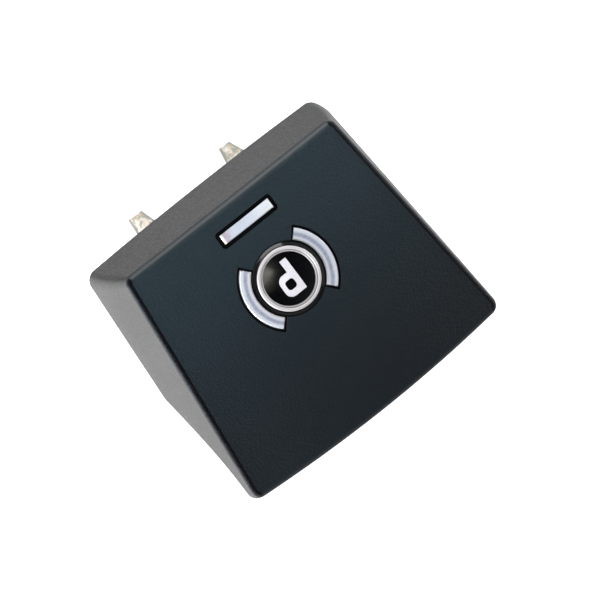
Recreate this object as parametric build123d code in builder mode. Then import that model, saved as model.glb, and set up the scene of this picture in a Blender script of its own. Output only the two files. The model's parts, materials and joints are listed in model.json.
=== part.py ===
from build123d import *
from math import atan2, cos, degrees, sin, sqrt
import os

# Two-way parking-brake paddle switch for a car's centre console, in millimetres.
# Pushing the front lip down releases the brake and pulling it up sets it.
# Origin: centre of the base's flat underside. +Z is up, +Y points to the finger lip, +X is to the right.

# ---------------------------------------------------------------- driving dimensions
# paddle cap
paddle_width = 30.0        # across the skirt at its rear edge
paddle_front_width = 34.1  # across the skirt line carried on to the front lip
paddle_depth = 28.2        # rear skirt edge to the corners of the front lip
rear_rise = 9.3            # skirt to the rear edge of the top, at the sides
front_rise = 7.4           # skirt to the front edge of the top, at the sides
top_crown = 1.3            # how far the top bulges up along its middle
side_draft = 0.18          # mean inward lean of the side walls, mm per mm of height
side_barrel = 0.0155       # how strongly the side walls bulge between skirt and top
rear_draft = 0.20
front_draft = 0.03
rear_bow = 0.27            # how far the rear skirt bulges out at its middle
front_bow = 0.65
corner_radius = 1.3        # upright corners at the skirt
top_corner_radius = 0.9    # upright corners at their upper end
inner_corner = 0.4         # least corner radius inside the cap
cap_wall = 1.5
top_edge_radius = 0.8      # rounding all round the top
lip_edge_radius = 0.5      # rounding under the front lip
recess_start = 15.5        # rear skirt edge to the start of the finger recess
recess_vault = 1.45        # how far the recess's roof bulges above a straight slope
lip_thickness = 1.7
skirt_height = 10.0        # seat to the skirt's lower edge
skirt_overhang = 1.5       # the rear skirt stands this far behind the base

# markings in the top
symbol_depth = 12.0        # rear skirt edge to the centre of the round symbol
ring_radius = 3.32
ring_inner_radius = 2.77
ring_proud = 0.16
surround_radius = 3.84
arc_inner_radius = 3.94
arc_outer_radius = 5.17
arc_half_span = 47.0       # degrees each side of the cross axis
arc_margin = 0.25
badge_dome = 0.24
badge_proud = 0.10
badge_floor = 0.85         # depth of the seat for ring and badge
window_radius = 2.2
letter_height = 3.74
letter_width = 2.17
letter_stroke = 0.78
letter_bowl = 2.46
letter_counter = 1.07
letter_shift_x = 0.13      # the letter's middle, from the symbol's centre
letter_shift_y = -0.09
counter_shift = 0.08
letter_depth = 0.5
letter_proud = 0.02
bar_depth = 4.75           # rear skirt edge to the centre of the indicator bar
bar_length = 6.26
bar_width = 1.07
bar_margin = 0.41
bezel_sink = 0.10          # the gloss surrounds lie this far below the top
bezel_flange = 0.6
flange_margin = 0.7
lens_bevel = 0.12
diffuser_thickness = 0.6
baffle_wall = 0.6
baffle_lip = 0.66
fit_gap = 0.02             # between pieces that are fixed together

# carrier, pivot and plungers
pivot_rise = 2.5           # pivot above the skirt's lower edge
pin_radius = 0.8
pin_running_gap = 0.04
pin_overhang = 0.9
bush_wall = 0.46
bush_flange = 0.2
ear_offset = 3.3           # middle plane to the inner face of an ear
ear_thickness = 1.4
ear_wall = 0.6
tower_thickness = 1.4
tower_wall = 1.0
side_gap = 0.1             # axial play between ear, tower and clip
clip_thickness = 0.35
clip_wall = 0.7
groove_depth = 0.25
carrier_thickness = 1.2
carrier_corner = 1.4
carrier_rear_play = 1.6    # cap's rear wall to the carrier's rear edge
carrier_side_play = 2.5    # cap's side walls to the carrier's sides, measured at the rear skirt
carrier_reach = 3.7        # the carrier runs this far past the start of the recess's wall
carrier_window = 0.5       # ears to the openings between them
column_play = 0.8          # light columns to those openings
plunger_arm = 3.5          # pivot to each plunger, along Y
plunger_offset = 9.4       # middle plane to each plunger
plunger_width = 1.6
plunger_length = 2.2
finger_radius = 0.5
finger_gap = 0.05
finger_slide = 0.15
arm_thickness = 1.1
arm_length = 2.2
flange_size = 3.2
flange_play = 0.2          # plunger flange to the base's rear wall
flange_thickness = 0.6
plunger_head = 1.2         # pivot height to the plunger's top
guide_gap = 0.05
spring_wire = 0.2
spring_clearance = 0.05
spring_turns = 4
bridge_width = 1.2
bridge_thickness = 0.2
contact_radius = 0.35
contact_pitch = 2.5
contact_length = 0.45
contact_gap = 0.45
pad_thickness = 0.2
pad_radius = 0.4
carrier_screw_radius = 0.5
screw_head_radius = 1.0
screw_head_height = 0.6
screw_slot_length = 1.3
screw_slot_width = 0.3
boss_wall = 0.9
rear_screw_offset = 6.0    # middle plane to the two rear carrier screws
rear_screw_margin = 1.5    # carrier's rear edge to them
front_screw_margin = 1.9   # carrier's front edge to the two front ones
side_screw_margin = 1.7    # carrier's sides to the two front ones
tower_foot = 5.8
tower_angle = 72.0

# base
base_width = 25.4
base_depth = 19.4
base_height = 8.8
base_corner = 1.6
base_wall = 1.2
plate_thickness = 1.2
board_thickness = 0.8
board_gap = 0.3
board_lift = 1.7           # base plate to the underside of the board
plate_screw_inset = 1.5    # inner faces of the walls to the plate screws
plate_screw_radius = 0.5
plate_screw_length = 5.0
plate_post_radius = 1.3
mount_spacing = 11.0
mount_inset = 2.6          # front wall's inner face to the console screws
mount_hole_radius = 0.85
mount_post_wall = 0.95
mount_post_top = 1.3
mount_post_play = 0.1      # the posts stay this far below the light pipes
rib_width = 1.0            # ribs that hold the board off the plate
rib_length = 8.0

# light pipes
pipe_size = 2.4
pipe_height = 5.6          # centre of the level runs above the seat
column_size = 2.0
column_rise = 3.7          # pivot height to the top of the light columns
column_gap = 0.1
prong_offset = 5.9         # middle plane to each prong
prong_reach = 2.75         # flat end of each prong behind the base's rear wall
prong_drop = 3.0           # level run to the middle of the prong's end
prong_radius = 1.2
prong_taper = 2.2          # length of the tapered tip
symbol_tip_radius = 0.86
indicator_tip_radius = 0.66
facet = 1.1                # light-turning chamfers at the bends

# connector and console clips
connector_play = 0.3       # connector to the screw post beside it
connector_width = 8.4
connector_length = 5.3
connector_height = 3.7
connector_wall = 0.6
terminal_count = 5
terminal_pitch = 1.25
terminal_size = 0.4
terminal_recess = 1.2
terminal_tail = 0.6
terminal_play = 0.05
clip_width = 4.0
clip_strip = 0.35
clip_spring = 0.9
clip_foot = 1.6
clip_toe = 0.6
clip_top = 6.6
clip_shoulder = 1.4
clip_nose = 0.8
clip_bend = 0.2
clip_tab = 2.2

# ---------------------------------------------------------------- places worked out from them
base_rear = -base_depth / 2
skirt_rear = base_rear - skirt_overhang
base_roof = base_height - base_wall
symbol_y = skirt_rear + symbol_depth
bar_y = skirt_rear + bar_depth
pull_y = base_rear + base_wall + flange_play + flange_size / 2
pivot_y = pull_y + plunger_arm
push_y = pivot_y + plunger_arm
pivot_z = skirt_height + pivot_rise
side_flare = (paddle_front_width - paddle_width) / 2 / paddle_depth
top_rear_edge = rear_draft * rear_rise
top_slope = (rear_rise - front_rise) / (paddle_depth - top_rear_edge)
top_angle = atan2(top_slope, 1)
crown_radius = ((paddle_width / 2) ** 2 + top_crown ** 2) / (2 * top_crown)
form_height = rear_rise + top_crown + 1.0
reach = paddle_front_width

symbol_z = skirt_height + rear_rise - top_slope * (symbol_depth - top_rear_edge) + top_crown
top_plane = Plane(
    origin=(0, symbol_y, symbol_z),
    x_dir=(1, 0, 0),
    z_dir=(0, sin(top_angle), cos(top_angle)),
)
# section across the top: local x is +X and local y is the top's normal
cross_plane = Plane(
    origin=top_plane.origin,
    x_dir=(1, 0, 0),
    z_dir=(0, -cos(top_angle), sin(top_angle)),
)
bar_offset = (bar_y - symbol_y) / cos(top_angle)

insert_foot = cap_wall + bezel_flange
diffuser_top = insert_foot + fit_gap
diffuser_foot = diffuser_top + diffuser_thickness
baffle_foot = diffuser_foot + fit_gap + baffle_lip
carrier_top = baffle_foot + fit_gap
carrier_foot = carrier_top + carrier_thickness
flange_radius = arc_outer_radius + arc_margin + flange_margin

board_foot = plate_thickness + board_lift
board_top = board_foot + board_thickness
pad_top = board_top + pad_thickness
bridge_foot = pad_top + contact_gap + contact_length
plunger_foot = bridge_foot + bridge_thickness
plunger_top = pivot_z + plunger_head
spring_foot = plunger_foot + flange_thickness
column_top = pivot_z + column_rise

ear_outer = ear_offset + ear_thickness
tower_inner = ear_outer + bush_flange + side_gap
tower_outer = tower_inner + tower_thickness
groove_start = tower_outer + side_gap
pin_end = groove_start + clip_thickness + pin_overhang
bush_inner_radius = pin_radius + pin_running_gap
bush_radius = bush_inner_radius + bush_wall
tower_radius = pin_radius + tower_wall

# carrier and its screws, measured in the top plane from the symbol's centre
carrier_width = paddle_width - 2 * (cap_wall + carrier_side_play)
carrier_rear = (skirt_rear + cap_wall + carrier_rear_play - symbol_y) / cos(top_angle)
carrier_front = (skirt_rear + recess_start - cap_wall + carrier_reach - symbol_y) / cos(top_angle)
front_screw_offset = carrier_width / 2 - side_screw_margin
screw_places = [
    (-rear_screw_offset, carrier_rear + rear_screw_margin),
    (rear_screw_offset, carrier_rear + rear_screw_margin),
    (-front_screw_offset, carrier_front - front_screw_margin),
    (front_screw_offset, carrier_front - front_screw_margin),
]

# places in the base
plate_screw_x = base_width / 2 - base_wall - plate_screw_inset
plate_screw_y = base_depth / 2 - base_wall - plate_screw_inset
mount_y = base_depth / 2 - base_wall - mount_inset
mount_post_height = pipe_height - pipe_size / 2 - mount_post_play
mount_hole_depth = mount_post_height - mount_post_top
connector_y = plate_screw_y - plate_post_radius - connector_play - connector_width / 2
connector_foot = base_roof - connector_height - fit_gap
tail_x = -base_width / 2 + connector_length + terminal_tail
plate_screws_at = [(-plate_screw_x, plate_screw_y), (plate_screw_x, plate_screw_y),
                   (plate_screw_x, -plate_screw_y)]
mounts_at = [(-mount_spacing / 2, mount_y), (mount_spacing / 2, mount_y)]


# ---------------------------------------------------------------- shared shapes
def under_crown(drop):
    """Everything below the crowned top, lowered by drop."""
    half = reach
    sag = crown_radius - sqrt(crown_radius ** 2 - half ** 2)
    with BuildPart() as form:
        with BuildSketch(cross_plane):
            with BuildLine():
                ThreePointArc((-half, -sag - drop), (0, -drop), (half, -sag - drop))
                Polyline((half, -sag - drop), (half, -reach), (-half, -reach), (-half, -sag - drop))
            make_face()
        extrude(amount=reach, both=True)
    return form.part


def paddle_form(inset, foot, ceiling, recess_growth):
    """The tapered paddle shape, made smaller all round by inset and below the top by ceiling."""
    with BuildPart() as form:
        for height in (foot, (foot + form_height) / 2, form_height):
            lean = side_draft * height - side_barrel * height * (rear_rise - height)
            radius = corner_radius + (top_corner_radius - corner_radius) * height / form_height
            rear = skirt_rear + rear_draft * height + inset
            front = skirt_rear + paddle_depth - front_draft * height - inset
            half_rear = paddle_width / 2 + side_flare * (rear - skirt_rear) - lean - inset
            half_front = paddle_width / 2 + side_flare * (front - skirt_rear) - lean - inset
            with BuildSketch(Plane.XY.offset(skirt_height + height)) as outline:
                with BuildLine():
                    ThreePointArc((-half_rear, rear), (0, rear - rear_bow), (half_rear, rear))
                    Line((half_rear, rear), (half_front, front))
                    ThreePointArc((half_front, front), (0, front + front_bow), (-half_front, front))
                    Line((-half_front, front), (-half_rear, rear))
                make_face()
                fillet(outline.vertices(), max(radius - inset, inner_corner))
        loft()
        add(under_crown(ceiling), mode=Mode.INTERSECT)
        with BuildSketch(Plane.YZ) as recess:
            lip_end = skirt_rear + paddle_depth + front_bow + 1.0
            lip_under = skirt_height + front_rise - lip_thickness
            start = (skirt_rear + recess_start, skirt_height)
            below = skirt_height - 4.0
            with BuildLine():
                SagittaArc(start, (lip_end, lip_under), recess_vault)
                Polyline((lip_end, lip_under), (lip_end + 4.0, lip_under), (lip_end + 4.0, below),
                         (start[0], below), start)
            make_face()
            if recess_growth > 0:
                offset(amount=recess_growth, kind=Kind.INTERSECTION, mode=Mode.REPLACE)
        extrude(amount=reach, both=True, mode=Mode.SUBTRACT)
    return form.part


def arc_face(inner, outer, half_span, middle):
    """A ring sector centred on the angle middle."""
    with BuildSketch() as sector:
        with BuildLine():
            outer_arc = CenterArc((0, 0), outer, middle - half_span, 2 * half_span)
            inner_arc = CenterArc((0, 0), inner, middle - half_span, 2 * half_span)
            Line(outer_arc @ 0, inner_arc @ 0)
            Line(outer_arc @ 1, inner_arc @ 1)
        make_face()
    return sector.sketch


def symbol_outline(growth):
    """The round symbol with its two side arcs."""
    margin_span = degrees((arc_margin + growth) / arc_outer_radius)
    with BuildSketch() as outline:
        Circle(surround_radius + growth)
        for middle in (0, 180):
            add(arc_face(ring_radius, arc_outer_radius + arc_margin + growth,
                         arc_half_span + margin_span, middle))
    return outline.sketch


def bar_outline(growth):
    """The surround of the indicator bar."""
    with BuildSketch() as outline:
        with Locations((0, bar_offset)):
            RectangleRounded(bar_length + 2 * (bar_margin + growth), bar_width + 2 * (bar_margin + growth),
                             bar_margin)
    return outline.sketch


def letter_outline(growth):
    """A plain capital P, upright towards +Y."""
    left = -letter_width / 2 + letter_shift_x - growth
    foot = -letter_height / 2 + letter_shift_y - growth
    top = foot + letter_height + 2 * growth
    counter = letter_counter - 2 * growth
    with BuildSketch() as outline:
        with Locations((left, top)):
            Rectangle(letter_width + 2 * growth, letter_bowl + 2 * growth, align=(Align.MIN, Align.MAX))
        fillet(outline.vertices().group_by(Axis.X)[-1], letter_stroke + growth)
        with Locations((left, foot)):
            Rectangle(letter_stroke + 2 * growth, letter_height + 2 * growth, align=(Align.MIN, Align.MIN))
        with Locations((left + growth + letter_width / 2 + counter_shift, top - growth - letter_bowl / 2)):
            RectangleRounded(counter, counter, counter / 3, mode=Mode.SUBTRACT)
    return outline.sketch


def box_between(low, high, mode=Mode.ADD):
    """A box from its lowest to its highest corner, in the open part."""
    centre = tuple((a + b) / 2 for a, b in zip(low, high))
    with Locations(centre):
        Box(high[0] - low[0], high[1] - low[1], high[2] - low[2], mode=mode)


# ---------------------------------------------------------------- paddle cap
with BuildPart() as cap_shell:
    add(paddle_form(0, 0, 0, 0))
    fillet(cap_shell.faces().sort_by(Axis.Z)[-1].edges(), top_edge_radius)
    lip_corner = skirt_rear + paddle_depth - 3 * corner_radius
    lip_foot = skirt_height + front_rise - lip_thickness
    lip_edges = cap_shell.edges().filter_by(
        lambda edge: edge.center().Y > lip_corner and edge.center().Z < lip_foot + 0.1)
    fillet(lip_edges, lip_edge_radius)
    add(paddle_form(cap_wall, -1.0, cap_wall, cap_wall), mode=Mode.SUBTRACT)
    with BuildSketch(top_plane.offset(-carrier_top)):
        with Locations(*screw_places):
            Circle(carrier_screw_radius + boss_wall)
    extrude(amount=carrier_top - cap_wall / 2)
    with BuildSketch(top_plane.offset(-carrier_top)):
        with Locations(*screw_places):
            Circle(carrier_screw_radius + fit_gap / 2)
    extrude(amount=carrier_top - cap_wall, mode=Mode.SUBTRACT)
    with BuildSketch(top_plane.offset(-insert_foot)):
        add(symbol_outline(fit_gap))
        add(bar_outline(fit_gap))
    extrude(amount=insert_foot + ring_proud, mode=Mode.SUBTRACT)
cap_shell.part.label = "cap_shell"

# ---------------------------------------------------------------- markings
with BuildPart() as symbol_bezel:
    with BuildSketch(top_plane.offset(-insert_foot)):
        add(symbol_outline(0))
    extrude(amount=insert_foot)
    add(under_crown(bezel_sink), mode=Mode.INTERSECT)
    with BuildSketch(top_plane.offset(-insert_foot)):
        Circle(flange_radius)
    extrude(amount=bezel_flange / 2)
    with BuildSketch(top_plane.offset(-badge_floor)):
        Circle(ring_radius + fit_gap)
    extrude(amount=insert_foot, mode=Mode.SUBTRACT)
    with BuildSketch(top_plane.offset(-insert_foot)):
        Circle(window_radius)
        for middle in (0, 180):
            add(arc_face(arc_inner_radius - fit_gap, arc_outer_radius + fit_gap,
                         arc_half_span + 0.3, middle))
    extrude(amount=insert_foot + ring_proud, mode=Mode.SUBTRACT)
symbol_bezel.part.label = "symbol_bezel"


def arc_lens(middle, label):
    with BuildPart() as lens:
        with BuildSketch(top_plane.offset(-insert_foot)):
            add(arc_face(arc_inner_radius, arc_outer_radius, arc_half_span, middle))
        extrude(amount=insert_foot + ring_proud)
        add(under_crown(0), mode=Mode.INTERSECT)
        chamfer(lens.faces().sort_by(Axis.Z)[-1].edges(), lens_bevel)
    lens.part.label = label
    return lens


arc_lens_left = arc_lens(180, "arc_lens_left")
arc_lens_right = arc_lens(0, "arc_lens_right")

with BuildPart() as symbol_ring:
    with BuildSketch(cross_plane):
        ring_middle = (ring_radius + ring_inner_radius) / 2
        with Locations((ring_middle, (ring_proud - badge_floor) / 2)):
            ring_width = ring_radius - ring_inner_radius
            Rectangle(ring_width, ring_proud + badge_floor)
    revolve(axis=Axis(top_plane.origin, top_plane.z_dir))
    fillet(symbol_ring.edges().group_by(Axis(top_plane.origin, top_plane.z_dir))[-1], ring_width * 0.42)
symbol_ring.part.label = "symbol_ring"

top_axis = Axis(top_plane.origin, top_plane.z_dir)
dome_radius = (ring_inner_radius ** 2 + badge_dome ** 2) / (2 * badge_dome)
with BuildPart(top_plane) as badge_disc:
    with BuildSketch(top_plane.offset(-badge_floor + fit_gap)):
        Circle(ring_inner_radius - fit_gap)
    extrude(amount=badge_floor + badge_proud)
    with Locations((0, 0, badge_proud - dome_radius)):
        Sphere(dome_radius, mode=Mode.INTERSECT)
    with BuildSketch(top_plane.offset(-letter_depth - fit_gap)):
        add(letter_outline(fit_gap / 2))
    extrude(amount=letter_depth + badge_floor, mode=Mode.SUBTRACT)
badge_disc.part.label = "badge_disc"

with BuildPart(top_plane) as badge_letter:
    with BuildSketch(top_plane.offset(-letter_depth)):
        add(letter_outline(0))
    extrude(amount=letter_depth + badge_floor)
    with Locations((0, 0, badge_proud + letter_proud - dome_radius)):
        Sphere(dome_radius, mode=Mode.INTERSECT)
badge_letter.part.label = "badge_letter"

with BuildPart() as indicator_bezel:
    with BuildSketch(top_plane.offset(-insert_foot)):
        add(bar_outline(0))
    extrude(amount=insert_foot + ring_proud)
    add(under_crown(bezel_sink), mode=Mode.INTERSECT)
    with BuildSketch(top_plane.offset(-insert_foot)):
        with Locations((0, bar_offset)):
            Rectangle(bar_length + 2 * fit_gap, bar_width + 2 * fit_gap)
    extrude(amount=insert_foot + ring_proud, mode=Mode.SUBTRACT)
indicator_bezel.part.label = "indicator_bezel"

with BuildPart() as indicator_lens:
    with BuildSketch(top_plane.offset(-insert_foot)):
        with Locations((0, bar_offset)):
            Rectangle(bar_length, bar_width)
    extrude(amount=insert_foot + ring_proud)
    add(under_crown(0), mode=Mode.INTERSECT)
    chamfer(indicator_lens.faces().sort_by(Axis.Z)[-1].edges(), lens_bevel)
indicator_lens.part.label = "indicator_lens"

# ---------------------------------------------------------------- light spreader and baffle
with BuildPart() as symbol_diffuser:
    with BuildSketch(top_plane.offset(-diffuser_foot)):
        Circle(flange_radius - flange_margin)
    extrude(amount=diffuser_thickness)
symbol_diffuser.part.label = "symbol_diffuser"

with BuildPart() as light_baffle:
    tray_radius = flange_radius - flange_margin + fit_gap
    frame_length = bar_length + 2 * (bar_margin + baffle_wall)
    frame_width = bar_width + bar_margin + 2 * baffle_wall
    with BuildSketch(top_plane.offset(-baffle_foot)):
        Circle(tray_radius + baffle_wall)
        with Locations((0, bar_offset)):
            Rectangle(frame_length, frame_width)
    extrude(amount=baffle_foot - diffuser_top)
    with BuildSketch(top_plane.offset(-diffuser_foot - fit_gap)):
        Circle(tray_radius)
    extrude(amount=diffuser_thickness + 2 * fit_gap, mode=Mode.SUBTRACT)
    with BuildSketch(top_plane.offset(-baffle_foot)):
        Circle(tray_radius - baffle_wall)
        with Locations((0, bar_offset)):
            Rectangle(bar_length, bar_width + bar_margin)
    extrude(amount=baffle_foot - diffuser_top, mode=Mode.SUBTRACT)
light_baffle.part.label = "light_baffle"

# ---------------------------------------------------------------- carrier with its ears and fingers
ear_radius = bush_radius + ear_wall
plunger_sides = [(1, push_y), (-1, pull_y)]


def carrier_clearance(y):
    """Height from the pivot to the middle of the carrier plate at y."""
    return symbol_z - (carrier_foot + carrier_top) / 2 / cos(top_angle) + top_slope * (symbol_y - y) - pivot_z


with BuildPart() as paddle_carrier:
    with BuildSketch(top_plane.offset(-carrier_foot)):
        with Locations((0, (carrier_rear + carrier_front) / 2)):
            RectangleRounded(carrier_width, carrier_front - carrier_rear, carrier_corner)
    extrude(amount=carrier_thickness)
    with BuildSketch(top_plane.offset(-carrier_foot)):
        with Locations((0, 0), (0, bar_offset)):
            RectangleRounded(2 * (ear_offset - carrier_window), column_size + 2 * column_play,
                             column_play / 2)
    extrude(amount=carrier_thickness, mode=Mode.SUBTRACT)
    for side in (-1, 1):
        with BuildSketch(Plane.YZ.offset(side * (ear_offset + ear_thickness / 2))):
            with Locations((pivot_y, pivot_z)):
                Circle(ear_radius)
                Rectangle(2 * ear_radius, carrier_clearance(pivot_y), align=(Align.CENTER, Align.MIN))
        extrude(amount=ear_thickness / 2, both=True)
    for side, plunger_y in plunger_sides:
        arm_outer = plunger_offset - plunger_width / 2 - finger_slide
        with BuildSketch(Plane.YZ.offset(side * (arm_outer - arm_thickness / 2))):
            with Locations((plunger_y, pivot_z)):
                Circle(arm_length / 2)
                Rectangle(arm_length, carrier_clearance(plunger_y), align=(Align.CENTER, Align.MIN))
        extrude(amount=arm_thickness / 2, both=True)
        with BuildSketch(Plane.YZ.offset(side * (arm_outer - arm_thickness / 2))):
            with Locations((plunger_y, pivot_z)):
                Circle(finger_radius)
        extrude(amount=side * (plunger_width + finger_slide + arm_thickness / 2 + finger_slide))
    with BuildSketch(Plane.YZ):
        with Locations((pivot_y, pivot_z)):
            Circle(bush_radius)
    extrude(amount=ear_outer + side_gap, both=True, mode=Mode.SUBTRACT)
    with BuildSketch(top_plane.offset(-carrier_foot)):
        with Locations(*screw_places):
            Circle(carrier_screw_radius + fit_gap)
    extrude(amount=carrier_thickness, mode=Mode.SUBTRACT)
paddle_carrier.part.label = "paddle_carrier"

with BuildPart() as carrier_screws:
    with BuildSketch(top_plane.offset(-carrier_foot - screw_head_height)):
        with Locations(*screw_places):
            Circle(screw_head_radius)
    extrude(amount=screw_head_height)
    fillet(carrier_screws.edges().group_by(top_axis)[0], screw_head_height / 3)
    with BuildSketch(top_plane.offset(-carrier_foot)):
        with Locations(*screw_places):
            Circle(carrier_screw_radius)
    extrude(amount=carrier_thickness + carrier_top - cap_wall - boss_wall)
    with BuildSketch(top_plane.offset(-carrier_foot - screw_head_height)):
        with Locations(*screw_places):
            Rectangle(screw_slot_length, screw_slot_width)
            Rectangle(screw_slot_width, screw_slot_length)
    extrude(amount=screw_head_height / 2, mode=Mode.SUBTRACT)
carrier_screws.part.label = "carrier_screws"

with BuildPart() as pivot_bushes:
    for side in (-1, 1):
        with BuildSketch(Plane.YZ.offset(side * ear_offset)):
            with Locations((pivot_y, pivot_z)):
                Circle(bush_radius)
        extrude(amount=side * ear_thickness)
        with BuildSketch(Plane.YZ.offset(side * ear_outer)):
            with Locations((pivot_y, pivot_z)):
                Circle(bush_radius + ear_wall / 2)
        extrude(amount=side * bush_flange)
    with BuildSketch(Plane.YZ):
        with Locations((pivot_y, pivot_z)):
            Circle(bush_inner_radius)
    extrude(amount=tower_outer, both=True, mode=Mode.SUBTRACT)
pivot_bushes.part.label = "pivot_bushes"

# ---------------------------------------------------------------- pivot pin and its clips
with BuildPart() as pivot_pin:
    with BuildSketch(Plane.YZ):
        with Locations((pivot_y, pivot_z)):
            Circle(pin_radius)
    extrude(amount=pin_end, both=True)
    chamfer(pivot_pin.edges(), groove_depth / 2)
    for side in (-1, 1):
        with BuildSketch(Plane.YZ.offset(side * groove_start)):
            with Locations((pivot_y, pivot_z)):
                Circle(pin_radius)
                Circle(pin_radius - groove_depth, mode=Mode.SUBTRACT)
        extrude(amount=side * (clip_thickness + fit_gap), mode=Mode.SUBTRACT)
pivot_pin.part.label = "pivot_pin"

with BuildPart() as pin_clips:
    for side in (-1, 1):
        with BuildSketch(Plane.YZ.offset(side * (groove_start + fit_gap / 2))):
            with Locations((pivot_y, pivot_z)):
                Circle(pin_radius + clip_wall)
                Circle(pin_radius - groove_depth + fit_gap, mode=Mode.SUBTRACT)
                Rectangle(pin_radius, pin_radius + clip_wall, align=(Align.CENTER, Align.MAX),
                          mode=Mode.SUBTRACT)
        extrude(amount=side * clip_thickness)
pin_clips.part.label = "pin_clips"

# ---------------------------------------------------------------- base housing
prong_axis_start = (base_rear + base_wall, pipe_height)
prong_run = prong_reach + base_wall
with BuildPart() as base_housing:
    with BuildSketch(Plane.XY.offset(plate_thickness)):
        RectangleRounded(base_width, base_depth, base_corner)
    extrude(amount=base_height - plate_thickness)
    chamfer(base_housing.edges().group_by(Axis.Z)[-1], base_wall / 3)
    with BuildSketch(Plane.XY.offset(plate_thickness)):
        RectangleRounded(base_width - 2 * base_wall, base_depth - 2 * base_wall, base_corner - base_wall)
    extrude(amount=base_roof - plate_thickness, mode=Mode.SUBTRACT)
    for side in (-1, 1):
        with BuildSketch(Plane.YZ.offset(side * (tower_inner + tower_thickness / 2))):
            with Locations((pivot_y, pivot_z)):
                Circle(tower_radius)
            with Locations((pivot_y, base_height)):
                Trapezoid(tower_foot, pivot_z - base_height, tower_angle, align=(Align.CENTER, Align.MIN))
        extrude(amount=tower_thickness / 2, both=True)
        with Locations((side * prong_offset, pivot_y, (pipe_height + pipe_size / 2 + base_roof) / 2)):
            Box(pipe_size / 2, pipe_size / 2, base_roof - pipe_height - pipe_size / 2)
    with BuildSketch(Plane.XY.offset(base_roof)):
        with Locations(*plate_screws_at):
            Circle(plate_post_radius)
    extrude(amount=plate_thickness - base_roof)
    with BuildSketch(Plane.XY.offset(plate_thickness)):
        with Locations(*plate_screws_at):
            Circle(plate_screw_radius + fit_gap / 2)
    extrude(amount=plate_screw_length, mode=Mode.SUBTRACT)
    with BuildSketch(Plane.YZ):
        with Locations((pivot_y, pivot_z)):
            Circle(pin_radius + fit_gap / 2)
    extrude(amount=pin_end, both=True, mode=Mode.SUBTRACT)
    with BuildSketch(Plane.XY.offset(base_roof)):
        for side, plunger_y in plunger_sides:
            with Locations((side * plunger_offset, plunger_y)):
                Rectangle(plunger_width + 2 * guide_gap, plunger_length + 2 * guide_gap)
        with Locations((0, symbol_y), (0, bar_y)):
            Rectangle(column_size + 2 * column_gap, column_size + 2 * column_gap)
    extrude(amount=base_wall, mode=Mode.SUBTRACT)
    prong_direction = Vector(0, -prong_run, -prong_drop).normalized()
    for side in (-1, 1):
        start = Vector(side * prong_offset, prong_axis_start[0], prong_axis_start[1])
        with BuildSketch(Plane(origin=start, z_dir=prong_direction)):
            Circle(prong_radius + column_gap / 2)
        extrude(amount=prong_run, both=True, mode=Mode.SUBTRACT)
    box_between((-base_width, connector_y - connector_width / 2 - fit_gap, connector_foot - fit_gap),
                (-base_width / 2 + base_wall + fit_gap, connector_y + connector_width / 2 + fit_gap,
                 base_roof), Mode.SUBTRACT)
    for side in (-1, 1):
        with Locations((0, side * (base_depth / 2 - base_wall / 2), clip_top - clip_strip / 2)):
            Box(clip_width + 2 * fit_gap, 2 * base_wall, clip_strip + 2 * fit_gap, mode=Mode.SUBTRACT)
base_housing.part.label = "base_housing"

with BuildPart() as base_plate:
    with BuildSketch():
        RectangleRounded(base_width, base_depth, base_corner)
    extrude(amount=plate_thickness)
    with BuildSketch(Plane.XY.offset(plate_thickness)):
        with Locations(*mounts_at):
            Circle(mount_hole_radius + mount_post_wall)
    extrude(amount=mount_post_height - plate_thickness)
    with BuildSketch(Plane.XY.offset(plate_thickness)):
        with Locations((rib_width - plunger_offset, 0), (plunger_offset - rib_width, 0)):
            Rectangle(rib_width, rib_length)
    extrude(amount=board_lift)
    with BuildSketch():
        with Locations(*mounts_at):
            Circle(mount_hole_radius)
    extrude(amount=mount_hole_depth, mode=Mode.SUBTRACT)
    with BuildSketch():
        with Locations(*plate_screws_at):
            Circle(plate_screw_radius + fit_gap)
    extrude(amount=plate_thickness, mode=Mode.SUBTRACT)
    for place in plate_screws_at:
        with Locations((place[0], place[1], screw_head_height / 2)):
            Cone(screw_head_radius + fit_gap, plate_screw_radius + fit_gap, screw_head_height,
                 mode=Mode.SUBTRACT)
base_plate.part.label = "base_plate"

with BuildPart() as plate_screws:
    for place in plate_screws_at:
        with Locations((place[0], place[1], screw_head_height / 2)):
            Cone(screw_head_radius, plate_screw_radius, screw_head_height)
        with BuildSketch(Plane.XY.offset(screw_head_height)):
            with Locations(place):
                Circle(plate_screw_radius)
        extrude(amount=plate_screw_length)
        with Locations((place[0], place[1], screw_head_height / 4)):
            Box(screw_slot_length, screw_slot_width, screw_head_height / 2, mode=Mode.SUBTRACT)
            Box(screw_slot_width, screw_slot_length, screw_head_height / 2, mode=Mode.SUBTRACT)
plate_screws.part.label = "plate_screws"

# ---------------------------------------------------------------- circuit board, contacts and connector
with BuildPart() as circuit_board:
    with BuildSketch(Plane.XY.offset(board_foot)):
        Rectangle(base_width - 2 * (base_wall + board_gap), base_depth - 2 * (base_wall + board_gap))
        with Locations(*plate_screws_at):
            Rectangle(2 * (plate_post_radius + board_gap), 2 * (plate_post_radius + board_gap),
                      mode=Mode.SUBTRACT)
        with Locations(*mounts_at):
            Circle(mount_hole_radius + mount_post_wall + board_gap, mode=Mode.SUBTRACT)
        with Locations((tail_x, connector_y)):
            with GridLocations(1, terminal_pitch, 1, terminal_count):
                Rectangle(terminal_size + 2 * terminal_play, terminal_size + 2 * terminal_play,
                          mode=Mode.SUBTRACT)
    extrude(amount=board_thickness)
circuit_board.part.label = "circuit_board"

with BuildPart() as contact_pads:
    with BuildSketch(Plane.XY.offset(board_top)):
        for side, plunger_y in plunger_sides:
            with Locations((side * plunger_offset, plunger_y)):
                with GridLocations(1, contact_pitch, 1, 2):
                    Circle(pad_radius)
    extrude(amount=pad_thickness)
contact_pads.part.label = "contact_pads"

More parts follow.
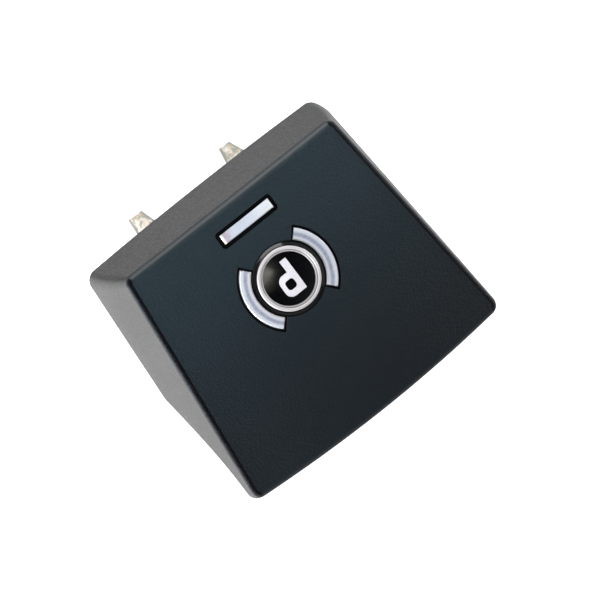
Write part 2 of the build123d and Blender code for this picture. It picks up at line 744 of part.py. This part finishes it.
with BuildPart() as connector_shroud:
    low = (-base_width / 2, connector_y - connector_width / 2, connector_foot)
    high = (low[0] + connector_length, connector_y + connector_width / 2, connector_foot + connector_height)
    box_between(low, high)
    inner_low = (low[0], low[1] + connector_wall, low[2] + connector_wall)
    inner_high = (high[0] - connector_wall, high[1] - connector_wall, high[2] - connector_wall)
    box_between(inner_low, inner_high, Mode.SUBTRACT)
    with Locations((high[0], connector_y, (low[2] + high[2]) / 2)):
        with GridLocations(1, terminal_pitch, 1, terminal_count):
            Box(4 * connector_wall, terminal_size + 2 * fit_gap, terminal_size + 2 * fit_gap,
                mode=Mode.SUBTRACT)
connector_shroud.part.label = "connector_shroud"

with BuildPart() as terminal_pins:
    terminal_z = connector_foot + connector_height / 2
    for index in range(terminal_count):
        pin_y = connector_y + (index - (terminal_count - 1) / 2) * terminal_pitch
        half = terminal_size / 2
        box_between((-base_width / 2 + terminal_recess, pin_y - half, terminal_z - half),
                    (tail_x + half, pin_y + half, terminal_z + half))
        box_between((tail_x - half, pin_y - half, board_foot - terminal_tail),
                    (tail_x + half, pin_y + half, terminal_z))
terminal_pins.part.label = "terminal_pins"


# ---------------------------------------------------------------- light pipes
def light_pipe(side, column_y, tip_radius, label):
    """Tapered prong with its end cut upright, level run forward, run to the middle plane and column up to the markings."""
    half = pipe_size / 2
    run_x = side * prong_offset
    column_half = column_size / 2
    wall_y = prong_axis_start[0]
    with BuildPart() as pipe:
        start = Vector(run_x, wall_y, pipe_height)
        tip = start + Vector(0, -prong_run, -prong_drop)
        with BuildSketch(Plane(origin=tip, z_dir=-prong_direction)):
            Circle(tip_radius)
        with BuildSketch(Plane(origin=tip - prong_direction * prong_taper, z_dir=-prong_direction)):
            Circle(prong_radius)
        loft()
        with BuildSketch(Plane(origin=tip, z_dir=prong_direction)):
            Circle(tip_radius)
        extrude(amount=tip_radius)
        box_between((run_x - prong_radius, tip.Y - prong_radius * 2, tip.Z - prong_radius * 2),
                    (run_x + prong_radius, tip.Y, tip.Z + prong_radius * 2), Mode.SUBTRACT)
        with BuildSketch(Plane(origin=tip - prong_direction * prong_taper, z_dir=-prong_direction)):
            Circle(prong_radius)
        extrude(amount=(tip - start).length - prong_taper + column_gap)
        box_between((run_x - half, wall_y + fit_gap, pipe_height - half),
                    (run_x + half, column_y + column_half, pipe_height + half))
        turn = pipe.edges().filter_by(Axis.Z).group_by(Axis.Y)[-1].sort_by(Axis.X)
        chamfer(turn[-1] if side > 0 else turn[0], facet)
        box_between((min(run_x, -side * column_half), column_y - column_half, pipe_height - column_half),
                    (max(run_x, -side * column_half), column_y + column_half, pipe_height + column_half))
        box_between((-column_half, column_y - column_half, pipe_height),
                    (column_half, column_y + column_half, column_top))
        corner = pipe.edges().filter_by(Axis.Y).filter_by(
            lambda edge: abs(edge.center().X + side * column_half) < 0.01
            and abs(edge.center().Z - pipe_height + column_half) < 0.01)
        chamfer(corner, facet)
    pipe.part.label = label
    return pipe


symbol_light_pipe = light_pipe(1, symbol_y, symbol_tip_radius, "symbol_light_pipe")
indicator_light_pipe = light_pipe(-1, bar_y, indicator_tip_radius, "indicator_light_pipe")

# ---------------------------------------------------------------- console clips
with BuildPart() as console_clips:
    for side in (-1, 1):
        wall = side * (base_depth / 2 + fit_gap)
        outer = wall + side * clip_spring
        thick = side * clip_strip
        tab = wall - side * clip_tab
        nose_top = clip_top - clip_shoulder
        nose_foot = nose_top - clip_nose
        with BuildSketch(Plane.YZ):
            with BuildLine():
                Polyline(
                    (wall, clip_foot), (wall + thick, clip_foot), (outer, nose_foot), (outer, nose_top),
                    (wall + thick, clip_top), (tab, clip_top), (tab, clip_top - clip_strip),
                    (wall, clip_top - clip_strip), (outer - thick, nose_top - clip_bend),
                    (outer - thick, nose_foot + clip_bend), (wall, clip_foot + clip_toe), (wall, clip_foot))
            make_face()
        extrude(amount=clip_width / 2, both=True)
console_clips.part.label = "console_clips"


# ---------------------------------------------------------------- plungers, contact bridges and springs
def plunger(side, plunger_y, label):
    with BuildPart() as slide:
        with BuildSketch(Plane.XY.offset(plunger_foot)):
            with Locations((side * plunger_offset, plunger_y)):
                Rectangle(plunger_width, plunger_length)
        extrude(amount=plunger_top - plunger_foot)
        with BuildSketch(Plane.XY.offset(plunger_foot)):
            with Locations((side * plunger_offset, plunger_y)):
                RectangleRounded(flange_size, flange_size, flange_thickness / 2)
        extrude(amount=flange_thickness)
        chamfer(slide.edges().group_by(Axis.Z)[-1], guide_gap * 4)
        with BuildSketch(Plane.YZ.offset(side * plunger_offset)):
            with Locations((plunger_y, pivot_z)):
                SlotOverall(2 * (finger_radius + finger_slide), 2 * (finger_radius + finger_gap))
        extrude(amount=plunger_width, both=True, mode=Mode.SUBTRACT)
    slide.part.label = label
    return slide


def contact_bridge(side, plunger_y, label):
    with BuildPart() as bridge:
        with BuildSketch(Plane.XY.offset(bridge_foot)):
            with Locations((side * plunger_offset, plunger_y)):
                SlotOverall(contact_pitch + bridge_width / 2, bridge_width, rotation=90)
        extrude(amount=bridge_thickness)
        with BuildSketch(Plane.XY.offset(bridge_foot)):
            with Locations((side * plunger_offset, plunger_y)):
                with GridLocations(1, contact_pitch, 1, 2):
                    Circle(contact_radius)
        extrude(amount=-contact_length)
        fillet(bridge.edges().group_by(Axis.Z)[0], contact_radius / 2)
    bridge.part.label = label
    return bridge


def return_spring(side, plunger_y, label):
    inner = sqrt(plunger_width ** 2 + plunger_length ** 2) / 2 + spring_clearance
    length = base_roof - spring_foot - spring_wire - 2 * fit_gap
    with BuildPart() as spring:
        with BuildLine() as coil:
            Helix(length / spring_turns, length, inner + spring_wire / 2,
                  center=(side * plunger_offset, plunger_y, spring_foot + spring_wire / 2 + fit_gap))
        with BuildSketch(Plane(origin=coil.line @ 0, z_dir=coil.line % 0)):
            Circle(spring_wire / 2)
        sweep(path=coil.line, is_frenet=True)
    spring.part.label = label
    return spring


push_plunger = plunger(1, push_y, "push_plunger")
pull_plunger = plunger(-1, pull_y, "pull_plunger")
push_bridge = contact_bridge(1, push_y, "push_bridge")
pull_bridge = contact_bridge(-1, pull_y, "pull_bridge")
push_spring = return_spring(1, push_y, "push_spring")
pull_spring = return_spring(-1, pull_y, "pull_spring")

# ---------------------------------------------------------------- one file per piece
os.makedirs("parts", exist_ok=True)
pieces = [
    cap_shell, symbol_bezel, symbol_ring, arc_lens_left, arc_lens_right, badge_disc, badge_letter,
    indicator_bezel, indicator_lens, symbol_diffuser, light_baffle, paddle_carrier, carrier_screws,
    pivot_bushes, pivot_pin, pin_clips, base_housing, base_plate, plate_screws, circuit_board,
    contact_pads, connector_shroud, terminal_pins, symbol_light_pipe, indicator_light_pipe,
    console_clips, push_plunger, pull_plunger, push_bridge, pull_bridge, push_spring, pull_spring,
]
for piece in pieces:
    export_step(piece.part, f"parts/{piece.part.label}.step")
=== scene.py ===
import json
from math import cos, pi, radians, sin

import bmesh
import bpy
from mathutils import Matrix, Vector


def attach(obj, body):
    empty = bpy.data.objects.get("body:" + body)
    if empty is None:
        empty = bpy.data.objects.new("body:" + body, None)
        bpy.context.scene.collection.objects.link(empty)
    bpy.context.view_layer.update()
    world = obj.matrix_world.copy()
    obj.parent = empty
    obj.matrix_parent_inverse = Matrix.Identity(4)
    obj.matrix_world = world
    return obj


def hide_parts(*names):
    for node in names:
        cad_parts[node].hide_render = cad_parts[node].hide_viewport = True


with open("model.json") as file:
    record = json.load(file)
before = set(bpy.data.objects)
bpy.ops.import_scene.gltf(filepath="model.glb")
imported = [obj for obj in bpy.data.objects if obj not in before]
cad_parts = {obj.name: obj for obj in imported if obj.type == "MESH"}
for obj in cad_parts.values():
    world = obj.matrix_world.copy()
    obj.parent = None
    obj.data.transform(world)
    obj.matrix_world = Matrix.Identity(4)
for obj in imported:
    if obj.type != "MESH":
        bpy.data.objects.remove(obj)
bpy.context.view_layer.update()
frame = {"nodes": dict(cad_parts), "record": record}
nodes = frame["nodes"]
mm = 0.001
symbol_middle = Vector((0, 0.80, 19.87)) * mm
top_tilt = 4.13  # degrees, downwards to the front

# radii in mm on the round symbol
groove_radius = 2.955
outer_rim_start = 3.03
collar_start = 3.0
collar_radius = 3.36


# ---------------------------------------------------------------- node helpers
def set_range(node, low, high, out_low, out_high):
    """The two ranges of a map range node."""
    sockets = ("From Min", "From Max", "To Min", "To Max")
    for socket, number in zip(sockets, (low, high, out_low, out_high)):
        node.inputs[socket].default_value = number


class Tree:
    """Short names for building one material's nodes."""

    def __init__(self, name):
        self.material = bpy.data.materials.new(name)
        self.material.use_nodes = True
        self.nodes = self.material.node_tree.nodes
        self.links = self.material.node_tree.links
        self.shader = self.nodes["Principled BSDF"]
        self.place = self.nodes.new("ShaderNodeTexCoord").outputs["Object"]

    def set(self, **values):
        for socket, value in values.items():
            self.shader.inputs[socket.replace("_", " ")].default_value = value

    def link(self, source, target):
        self.links.new(source, target)
        return target

    def moved(self, scale=(1, 1, 1), turn=(0, 0, 0)):
        node = self.nodes.new("ShaderNodeMapping")
        node.inputs["Scale"].default_value = scale
        node.inputs["Rotation"].default_value = turn
        self.link(self.place, node.inputs["Vector"])
        return node.outputs["Vector"]

    def noise(self, size, detail=3.0, roughness=0.55, vector=None):
        """Noise with features about size metres across."""
        node = self.nodes.new("ShaderNodeTexNoise")
        node.inputs["Scale"].default_value = 1 / size
        node.inputs["Detail"].default_value = detail
        node.inputs["Roughness"].default_value = roughness
        self.link(vector or self.place, node.inputs["Vector"])
        return node.outputs["Fac"]

    def cells(self, size, feature="F1", vector=None, randomness=1.0):
        node = self.nodes.new("ShaderNodeTexVoronoi")
        node.feature = feature
        node.inputs["Scale"].default_value = 1 / size
        node.inputs["Randomness"].default_value = randomness
        self.link(vector or self.place, node.inputs["Vector"])
        return node.outputs["Distance"]

    def split(self, vector):
        """The X, Y and Z of a vector."""
        node = self.nodes.new("ShaderNodeSeparateXYZ")
        self.link(vector, node.inputs["Vector"])
        return node.outputs["X"], node.outputs["Y"], node.outputs["Z"]

    def symbol_radius(self):
        """Distance in mm from the middle of the round symbol."""
        node = self.nodes.new("ShaderNodeMapping")
        node.inputs["Scale"].default_value = (1 / mm, 1 / mm, 0)
        node.inputs["Location"].default_value = (0, -symbol_middle.y / mm, 0)
        self.link(self.place, node.inputs["Vector"])
        length = self.nodes.new("ShaderNodeVectorMath")
        length.operation = "LENGTH"
        self.link(node.outputs["Vector"], length.inputs[0])
        return length.outputs["Value"]

    def ridge(self, value, middle, half_width):
        """1 at middle, falling to 0 at half_width either side."""
        away = self.math("ABSOLUTE", self.math("SUBTRACT", value, middle), 0.0)
        return self.ramp(away, 0.0, half_width, 1.0, 0.0)

    def ramp(self, value, low, high, out_low=0.0, out_high=1.0):
        node = self.nodes.new("ShaderNodeMapRange")
        node.interpolation_type = "SMOOTHSTEP"
        set_range(node, low, high, out_low, out_high)
        self.link(value, node.inputs["Value"])
        return node.outputs["Result"]

    def math(self, operation, first, second):
        node = self.nodes.new("ShaderNodeMath")
        node.operation = operation
        for socket, value in zip(node.inputs, (first, second)):
            if isinstance(value, (int, float)):
                socket.default_value = value
            else:
                self.link(value, socket)
        return node.outputs["Value"]

    def mixed(self, share, first, second):
        """A colour between first and second, each a colour or a socket."""
        node = self.nodes.new("ShaderNodeMix")
        node.data_type = "RGBA"
        self.link(share, node.inputs["Factor"])
        for socket, value in ((node.inputs[6], first), (node.inputs[7], second)):
            if isinstance(value, tuple):
                socket.default_value = (*value, 1.0)
            else:
                self.link(value, socket)
        return node.outputs[2]

    def bump(self, height, depth, strength=1.0, below=None):
        node = self.nodes.new("ShaderNodeBump")
        node.inputs["Distance"].default_value = depth
        node.inputs["Strength"].default_value = strength
        self.link(height, node.inputs["Height"])
        if below is not None:
            self.link(below, node.inputs["Normal"])
        return node.outputs["Normal"]

    def face_direction(self):
        return self.nodes.new("ShaderNodeNewGeometry").outputs["Normal"]

    def edge_wear(self, low=0.50, high=0.56):
        """Nearly 0 on flat faces and rising on outside edges."""
        node = self.nodes.new("ShaderNodeNewGeometry")
        return self.ramp(node.outputs["Pointiness"], low, high)

    def colour(self, socket):
        self.link(socket, self.shader.inputs["Base Color"])

    def roughness(self, socket):
        self.link(socket, self.shader.inputs["Roughness"])

    def normal(self, socket):
        self.link(socket, self.shader.inputs["Normal"])


# ---------------------------------------------------------------- materials
def leather_black():
    """Soft-touch black with a fine leather grain.

    Painted shade darkens the top towards the front, the two side walls carry a painted grey sheen, the
    rear edge of the top a painted highlight, and a painted dark reflection runs along the side edges of
    the top.
    """
    tree = Tree("leather_black")
    tree.set(IOR=1.40, Specular_IOR_Level=0.30)
    wrinkled = tree.moved(scale=(1.0, 1.15, 1.0))
    pebbles = tree.ramp(tree.cells(0.42 * mm, "DISTANCE_TO_EDGE", wrinkled), 0.0, 0.22)
    small = tree.noise(0.22 * mm, detail=4.0, roughness=0.6)
    broad = tree.noise(6.0 * mm, detail=2.0)
    facing = tree.split(tree.face_direction())
    across = tree.math("ABSOLUTE", facing[0], 0.0)
    upright = tree.ramp(facing[2], 0.30, 0.66, 1.0, 0.0)
    # painted dark reflection along the side edges of the top, made metallic as well
    edge_dark_reflection = tree.math("MULTIPLY", tree.ramp(across, 0.12, 0.32), tree.ramp(facing[2], 0.36, 0.86))
    rear = tree.mixed(broad, (0.0040, 0.0115, 0.0165), (0.0052, 0.0145, 0.0200))
    # painted shade: the top is darker towards the front
    front_shade = tree.ramp(tree.split(tree.place)[1], -9.0 * mm, 15.0 * mm)
    top = tree.mixed(front_shade, rear, (0.0014, 0.0045, 0.0075))
    body = tree.mixed(upright, top, (0.0018, 0.0016, 0.0028))
    # painted sheen: the two side walls are painted a lighter grey
    side_wall_sheen = tree.mixed(broad, (0.034, 0.034, 0.033), (0.046, 0.046, 0.047))
    body = tree.mixed(tree.math("MULTIPLY", tree.ramp(across, 0.40, 0.80), upright), body, side_wall_sheen)
    # painted highlight: a lighter band along the rear edge of the top, between the corners
    between_corners = tree.ramp(across, 0.2, 0.5, 1.0, 0.0)
    rear_edge_highlight = tree.math("MULTIPLY", tree.ridge(facing[1], -0.60, 0.34), between_corners)
    body = tree.mixed(rear_edge_highlight, body, (0.052, 0.056, 0.058))
    dust_seed = tree.cells(2.6 * mm)
    dust = tree.math("MULTIPLY", tree.ramp(dust_seed, 0.018, 0.030, 1.0, 0.0), tree.ramp(broad, 0.45, 0.6))
    dusty = tree.mixed(tree.math("MULTIPLY", dust, 0.5), body, (0.10, 0.11, 0.12))
    tree.colour(tree.mixed(edge_dark_reflection, dusty, (0.003, 0.003, 0.004)))
    tree.link(edge_dark_reflection, tree.shader.inputs["Metallic"])
    grain = tree.math("ADD", tree.math("MULTIPLY", pebbles, 0.6), tree.math("MULTIPLY", small, 0.8))
    tree.roughness(tree.ramp(small, 0.3, 0.7, 0.50, 0.64))
    tree.normal(tree.bump(grain, 0.026 * mm, 0.9))
    return tree.material


def gloss_black():
    """Polished black, shaped as a low rounded collar round the ring."""
    tree = Tree("gloss_black")
    tree.set(Specular_IOR_Level=0.30, Coat_Weight=0.15, Coat_Roughness=0.08)
    radius = tree.symbol_radius()
    haze = tree.noise(1.6 * mm, detail=4.0)
    tree.colour(tree.mixed(haze, (0.0010, 0.0012, 0.0016), (0.0020, 0.0022, 0.0028)))
    tree.roughness(tree.ramp(haze, 0.3, 0.7, 0.12, 0.20))
    outside_ring = tree.ramp(radius, collar_start, collar_start + 0.2)
    collar = tree.math("MULTIPLY", tree.ridge(radius, collar_radius, 0.42), outside_ring)
    shaped = tree.bump(collar, 0.16 * mm, 1.0)
    tree.normal(tree.bump(tree.noise(0.5 * mm), 0.002 * mm, 0.3, shaped))
    return tree.material


def milky_lens(name, bands):
    """Translucent light-guide plastic with faint flow lines and the bands of colour given, which hold
    painted reflections and highlights.
    """
    tree = Tree(name)
    tree.set(Specular_IOR_Level=0.5, Coat_Weight=0.25, Coat_Roughness=0.12, Subsurface_Weight=0.15)
    tree.set(Subsurface_Radius=(0.4 * mm, 0.4 * mm, 0.5 * mm), Subsurface_Scale=1.0)
    flow = tree.noise(0.5 * mm, detail=5.0, vector=tree.moved(scale=(1.0, 2.6, 1.0), turn=(0, 0, 0.6)))
    cloud = tree.noise(2.2 * mm, detail=2.0)
    colour, streaks = bands(tree)
    share = tree.math("MULTIPLY", tree.ramp(flow, 0.35, 0.7), tree.ramp(cloud, 0.35, 0.65, 0.3, 1.0))
    tree.colour(tree.mixed(tree.math("MULTIPLY", share, streaks), colour, (0.30, 0.33, 0.42)))
    tree.roughness(tree.ramp(flow, 0.3, 0.7, 0.22, 0.36))
    tree.normal(tree.bump(flow, 0.010 * mm, 0.35))
    return tree.material


def arc_painted_reflections(tree):
    """Painted reflections: blue-grey along the middle, a bright painted highlight towards the outer edge
    and warmer grey at the inner one.
    """
    radius = tree.symbol_radius()
    wander = tree.math("MULTIPLY", tree.noise(3.0 * mm, detail=2.0), 0.30)
    radius = tree.math("ADD", radius, tree.math("SUBTRACT", wander, 0.15))
    # painted reflections: a blue-grey streak along the middle, a bright band towards the outer edge and
    # warmer grey at the inner edge
    inner = tree.mixed(tree.ramp(radius, 4.00, 4.15), (0.38, 0.37, 0.38), (0.46, 0.47, 0.52))
    middle = tree.mixed(tree.ramp(radius, 4.20, 4.48), inner, (0.22, 0.245, 0.31))
    outer = tree.mixed(tree.ramp(radius, 4.58, 4.86), middle, (0.47, 0.49, 0.54))
    return outer, 0.35


def bar_painted_highlights(tree):
    """Almost even, with a warm violet cast at the +X end, a painted highlight whitening the -X end and
    another on the +X end edge.
    """
    along = tree.split(tree.place)[0]
    end = tree.ramp(along, 1.5 * mm, 2.7 * mm)
    # painted highlight: the -X half is whiter
    body = tree.mixed(tree.ramp(along, -2.8 * mm, 0.5 * mm), (0.54, 0.57, 0.60), (0.42, 0.46, 0.53))
    violet_patch = tree.math("MULTIPLY", end, tree.ramp(tree.noise(0.7 * mm, detail=2.0), 0.40, 0.62))
    violet = tree.mixed(violet_patch, body, (0.33, 0.28, 0.34))
    # painted highlight: the last 0.2 mm of the +X end is bright and warm
    return tree.mixed(tree.ramp(along, 2.80 * mm, 3.0 * mm), violet, (0.74, 0.68, 0.62)), 0.45


def satin_silver():
    """Satin plating, with painted shade making the inner rim darker and the groove between the rims dark.
    """
    tree = Tree("satin_silver")
    tree.set(Metallic=0.25, Specular_IOR_Level=0.5)
    brushed = tree.noise(0.35 * mm, detail=3.0)
    radius = tree.symbol_radius()
    # painted shade: the inner rim is darker than the outer one and the groove darker still
    outer = tree.ramp(radius, outer_rim_start - 0.08, outer_rim_start)
    rims = tree.mixed(outer, (0.27, 0.26, 0.265), (0.44, 0.43, 0.44))
    groove = tree.mixed(tree.ridge(radius, groove_radius, 0.07), rims, (0.16, 0.15, 0.15))
    tree.colour(tree.mixed(tree.math("MULTIPLY", brushed, 0.3), groove, (0.48, 0.46, 0.47)))
    tree.roughness(tree.ramp(brushed, 0.3, 0.7, 0.40, 0.52))
    tree.normal(tree.bump(brushed, 0.002 * mm, 0.3))
    return tree.material


def printed_white():
    """White ink with a fine speckle."""
    tree = Tree("printed_white")
    speckle = tree.noise(0.10 * mm, detail=4.0, roughness=0.7)
    tree.colour(tree.mixed(tree.ramp(speckle, 0.35, 0.65), (0.51, 0.50, 0.56), (0.65, 0.64, 0.68)))
    tree.roughness(tree.ramp(speckle, 0.3, 0.7, 0.38, 0.55))
    tree.normal(tree.bump(speckle, 0.010 * mm, 0.5))
    return tree.material


def clear_guide():
    """Clear moulded plastic, cloudy with warm flow marks, with painted shade darkening it round its
    outline.
    """
    tree = Tree("clear_guide")
    tree.set(Transmission_Weight=0.30, IOR=1.45, Specular_IOR_Level=0.5)
    flow = tree.noise(0.9 * mm, detail=3.0, vector=tree.moved(scale=(2.0, 0.7, 1.0)))
    # painted shade: the outline, where the surface turns away from the view, is darkened
    rim = tree.nodes.new("ShaderNodeLayerWeight")
    rim.inputs["Blend"].default_value = 0.35
    core = tree.mixed(tree.ramp(flow, 0.42, 0.58), (0.78, 0.74, 0.66), (0.36, 0.36, 0.30))
    warm = tree.mixed(tree.ramp(tree.noise(0.7 * mm, detail=2.0), 0.5, 0.65), core, (0.66, 0.48, 0.34))
    tree.colour(tree.mixed(tree.ramp(rim.outputs["Facing"], 0.10, 0.50), warm, (0.09, 0.09, 0.07)))
    tree.roughness(tree.ramp(flow, 0.3, 0.7, 0.10, 0.22))
    tree.normal(tree.bump(flow, 0.02 * mm, 0.4))
    return tree.material


def moulded(name, dark, light, roughness, spark=0.18 * mm, depth=0.010 * mm, **settings):
    """Moulded plastic with a spark-eroded texture, worn a little at its edges."""
    tree = Tree(name)
    tree.set(**settings)
    fine = tree.noise(spark, detail=5.0, roughness=0.65)
    broad = tree.noise(4.0 * mm, detail=2.0)
    body = tree.mixed(tree.ramp(broad, 0.3, 0.7), dark, light)
    worn = tuple(min(1.0, 1.5 * channel + 0.02) for channel in light)
    tree.colour(tree.mixed(tree.math("MULTIPLY", tree.edge_wear(), 0.5), body, worn))
    tree.roughness(tree.ramp(fine, 0.3, 0.7, roughness - 0.06, roughness + 0.08))
    tree.normal(tree.bump(fine, depth, 0.6))
    return tree.material


def metal(name, dark, light, roughness, lay=(1, 1, 1), depth=0.006 * mm):
    """Drawn or rolled metal: fine lines along its lay and small blotches."""
    tree = Tree(name)
    tree.set(Metallic=1.0)
    lines = tree.noise(0.12 * mm, detail=4.0, vector=tree.moved(scale=lay))
    blotch = tree.noise(1.1 * mm, detail=3.0)
    tree.colour(tree.mixed(tree.ramp(blotch, 0.3, 0.7), dark, light))
    uneven = tree.math("ADD", tree.math("MULTIPLY", lines, 0.5), tree.math("MULTIPLY", blotch, 0.5))
    tree.roughness(tree.ramp(uneven, 0.3, 0.7, roughness - 0.08, roughness + 0.12))
    tree.normal(tree.bump(lines, depth, 0.5))
    return tree.material


def board_green():
    """Green solder mask with tracks under it."""
    tree = Tree("board_green")
    tree.set(Coat_Weight=0.5, Coat_Roughness=0.12)
    cells = tree.cells(2.4 * mm, "DISTANCE_TO_EDGE", tree.moved(), 0.35)
    tracks = tree.ramp(cells, 0.10, 0.13, 1.0, 0.0)
    weave = tree.noise(0.3 * mm, detail=3.0)
    mask = tree.mixed(weave, (0.010, 0.085, 0.040), (0.014, 0.110, 0.055))
    tree.colour(tree.mixed(tracks, mask, (0.030, 0.200, 0.090)))
    tree.roughness(tree.ramp(weave, 0.3, 0.7, 0.22, 0.34))
    tree.normal(tree.bump(tracks, 0.03 * mm, 0.6, tree.bump(weave, 0.008 * mm, 0.4)))
    return tree.material


def floor_white():
    """White paper that glows a little, so that it photographs as pure white."""
    tree = Tree("floor_white")
    paper = tree.noise(2.0 * mm, detail=4.0)
    tree.colour(tree.mixed(paper, (0.90, 0.90, 0.90), (0.92, 0.92, 0.92)))
    tree.roughness(tree.ramp(paper, 0.3, 0.7, 0.8, 0.9))
    tree.set(Emission_Color=(1, 1, 1, 1), Emission_Strength=0.65)
    return tree.material


black_frame = moulded("black_frame", (0.012, 0.012, 0.013), (0.020, 0.020, 0.021), 0.48)
nylon = moulded("natural_nylon", (0.66, 0.62, 0.52), (0.76, 0.73, 0.64), 0.42, Subsurface_Weight=0.1)
opal = moulded("opal_diffuser", (0.80, 0.81, 0.83), (0.88, 0.88, 0.90), 0.40, Subsurface_Weight=0.3)
plated_steel = metal("plated_steel", (0.48, 0.50, 0.52), (0.66, 0.67, 0.69), 0.26, lay=(0.1, 1, 1))
spring_steel = metal("spring_steel", (0.30, 0.30, 0.31), (0.46, 0.46, 0.47), 0.32, lay=(1, 1, 0.15))
contact_metal = metal("contact_metal", (0.72, 0.52, 0.22), (0.86, 0.70, 0.38), 0.28)

slot_materials = {
    "soft_black": leather_black(),
    "gloss_black": gloss_black(),
    "silver_ring": satin_silver(),
    "lens_white": milky_lens("milky_arc", arc_painted_reflections),
    "letter_white": printed_white(),
    "diffuser_milk": opal,
    "clear_guide": clear_guide(),
    "black_frame": black_frame,
    "natural_nylon": nylon,
    "steel": plated_steel,
    "spring_steel": spring_steel,
    "board_green": board_green(),
    "contact_brass": contact_metal,
}


def finish_mesh(piece, material, angle=30):
    """Gives a mesh its material and shades it smooth between its sharp edges."""
    mesh = piece.data
    mesh.materials.clear()
    mesh.materials.append(material)
    mesh.shade_smooth()
    mesh.set_sharp_from_angle(angle=radians(angle))


for entry in frame["record"]["subparts"]:
    finish_mesh(nodes[entry["node"]], slot_materials[entry["material_slot"]])

finish_mesh(nodes["indicator_lens"], milky_lens("milky_bar", bar_painted_highlights))


# ---------------------------------------------------------------- the ring, in more detail than the CAD
top_frame = Matrix.Translation(symbol_middle) @ Matrix.Rotation(radians(-top_tilt), 4, "X")


def lathe(name, profile, place, steps=160):
    """A closed profile of (radius, height) points in mm, turned round the Z axis of place."""
    builder = bmesh.new()
    rings = []
    for step in range(steps):
        turn = 2 * pi * step / steps
        rings.append([
            builder.verts.new(place @ (Vector((radius * cos(turn), radius * sin(turn), height)) * mm))
            for radius, height in profile
        ])
    for step in range(steps):
        here, there = rings[step], rings[(step + 1) % steps]
        for index in range(len(profile)):
            after = (index + 1) % len(profile)
            builder.faces.new((here[index], there[index], there[after], here[after]))
    bmesh.ops.recalc_face_normals(builder, faces=builder.faces)
    mesh = bpy.data.meshes.new(name)
    builder.to_mesh(mesh)
    builder.free()
    piece = bpy.data.objects.new(name, mesh)
    bpy.context.scene.collection.objects.link(piece)
    return piece


# two rims with a shallow groove between them, as (radius, height) in mm
ring_profile = [
    (3.32, -0.84), (3.32, 0.08), (3.30, 0.12), (3.26, 0.145), (3.20, 0.155), (3.10, 0.16), (3.04, 0.15),
    (3.00, 0.12), (2.975, 0.06), (2.95, 0.04), (2.925, 0.06), (2.90, 0.08), (2.86, 0.085), (2.81, 0.07),
    (2.78, 0.03), (2.77, -0.02), (2.77, -0.84),
]
silver_ring = lathe("silver_ring", ring_profile, top_frame)
finish_mesh(silver_ring, slot_materials["silver_ring"], angle=60)
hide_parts("symbol_ring")
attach(silver_ring, "paddle")

# ---------------------------------------------------------------- camera
camera_place = Vector((130.73, -81.41, 796.27)) * mm
camera_forward = Vector((-0.16452, 0.10683, -0.98057)).normalized()
camera_up = Vector((-0.61376, -0.78931, 0.01698)).normalized()
camera_data = bpy.data.cameras.new("camera")
camera_data.lens = 471.0
camera_data.sensor_width = 36.0
camera_data.clip_start = 0.01
camera_data.clip_end = 20.0
camera = bpy.data.objects.new("camera", camera_data)
side = camera_forward.cross(camera_up).normalized()
up = side.cross(camera_forward)
turn = Matrix((side, up, -camera_forward)).transposed().to_4x4()
camera.matrix_world = Matrix.Translation(camera_place) @ turn
bpy.context.scene.collection.objects.link(camera)
bpy.context.scene.camera = camera

# ---------------------------------------------------------------- floor and light
floor_mesh = bpy.data.meshes.new("floor")
floor_builder = bmesh.new()
bmesh.ops.create_grid(floor_builder, x_segments=8, y_segments=8, size=1.5)
floor_builder.to_mesh(floor_mesh)
floor_builder.free()
floor = bpy.data.objects.new("floor", floor_mesh)
bpy.context.scene.collection.objects.link(floor)
floor_mesh.materials.append(floor_white())


def soft_light(name, place, target, width, height, watts, colour=(1, 1, 1)):
    """A rectangular lamp at place that faces target."""
    data = bpy.data.lights.new(name, "AREA")
    data.shape = "RECTANGLE"
    data.size = width
    data.size_y = height
    data.energy = watts
    data.color = colour
    lamp = bpy.data.objects.new(name, data)
    lamp.location = place
    lamp.rotation_euler = (Vector(target) - Vector(place)).to_track_quat("-Z", "Y").to_euler()
    bpy.context.scene.collection.objects.link(lamp)


middle = (0, 0, 0.012)
soft_light("key_right", (0.43, 0.10, 0.045), middle, 0.30, 0.07, 7.0)
soft_light("fill_left", (-0.43, 0.0, 0.05), middle, 0.30, 0.08, 2.5)
soft_light("near_top", (-0.014, -0.044, 0.070), (0.0, -0.012, 0.018), 0.05, 0.05, 0.055)
soft_light("overhead", (0.036, 0.018, 0.40), middle, 0.05, 0.11, 0.11, (1.0, 0.96, 0.84))


horizon_strength = 0.72
overhead_strength = 0.03


def studio_world():
    """A light tent: bright low all round and dim overhead."""
    world = bpy.data.worlds.new("studio")
    world.use_nodes = True
    tree = world.node_tree
    place = tree.nodes.new("ShaderNodeTexCoord")
    parts = tree.nodes.new("ShaderNodeSeparateXYZ")
    tree.links.new(place.outputs["Generated"], parts.inputs["Vector"])
    fade = tree.nodes.new("ShaderNodeMapRange")
    fade.interpolation_type = "SMOOTHSTEP"
    set_range(fade, 0.55, 0.95, horizon_strength, overhead_strength)
    tree.links.new(parts.outputs["Z"], fade.inputs["Value"])
    background = tree.nodes["Background"]
    background.inputs["Color"].default_value = (0.96, 0.98, 1.0, 1)
    tree.links.new(fade.outputs["Result"], background.inputs["Strength"])
    bpy.context.scene.world = world


studio_world()
bpy.context.scene.view_settings.view_transform = "Standard"
